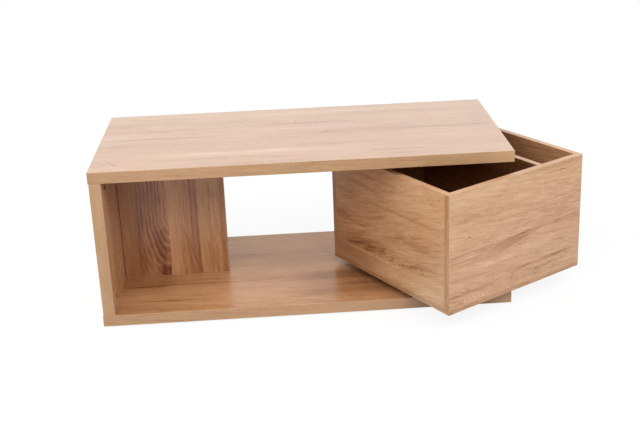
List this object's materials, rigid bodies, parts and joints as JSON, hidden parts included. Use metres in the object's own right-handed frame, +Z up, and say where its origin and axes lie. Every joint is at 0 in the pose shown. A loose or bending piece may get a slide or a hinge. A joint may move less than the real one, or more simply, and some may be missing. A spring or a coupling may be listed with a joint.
{
  "type": "coffee table with swing-out box",
  "caption": "Low coffee table of wood-decor boards with an open shelf and an open-topped storage box that swings out on an upright post under the top.",
  "frame": {"origin": "on the floor under the middle of the table top, level with the feet of the glides", "axes": "+X along the table towards the swing box, +Y to the back, +Z up"},
  "size_m": [1.1922, 0.6155, 0.4],
  "materials": {
    "oak_board": "satin",
    "oak_edging": "satin",
    "zinc": "satin",
    "fastener_steel": "satin",
    "beech": "matte",
    "post_steel": "satin",
    "bush_plastic": "satin",
    "glide_plastic": "satin"
  },
  "bodies": {
    "table": {"top_board": "oak_board", "top_long_edging": "oak_edging", "top_end_edging": "oak_edging", "bottom_board": "oak_board", "bottom_long_edging": "oak_edging", "bottom_end_edging": "oak_edging", "side_board": "oak_board", "side_edging": "oak_edging", "side_cams": "zinc", "side_cam_bolts": "fastener_steel", "side_dowels": "beech", "centre_board": "oak_board", "centre_edging": "oak_edging", "centre_dowels": "beech", "glides": "glide_plastic", "post_foot": "post_steel", "pivot_post": "post_steel", "post_top_plate": "post_steel", "post_spigot": "post_steel", "foot_screws": "fastener_steel", "top_plate_screws": "fastener_steel", "post_grub_screw": "fastener_steel", "thrust_ring": "bush_plastic"},
    "swing_box": {"box_bottom": "oak_board", "box_bottom_long_edging": "oak_edging", "box_bottom_short_edging": "oak_edging", "box_front": "oak_board", "box_back": "oak_board", "box_inner_side": "oak_board", "box_end_side": "oak_board", "box_divider": "oak_board", "box_end_edging": "oak_edging", "box_front_rims": "oak_edging", "box_side_rims": "oak_edging", "box_dowels": "beech", "box_bottom_screws": "fastener_steel", "pivot_bridge": "oak_board", "bridge_dowels": "beech", "lower_bush": "bush_plastic", "upper_bush": "bush_plastic"}
  },
  "joints": [
    {"name": "box_swing", "type": "hinge", "parent": "table", "child": "swing_box", "pos_m": [0.43, 0.155, 0.049], "axis": [0, 0, 1], "range_deg": [-32.3, 57.7]}
  ]
}
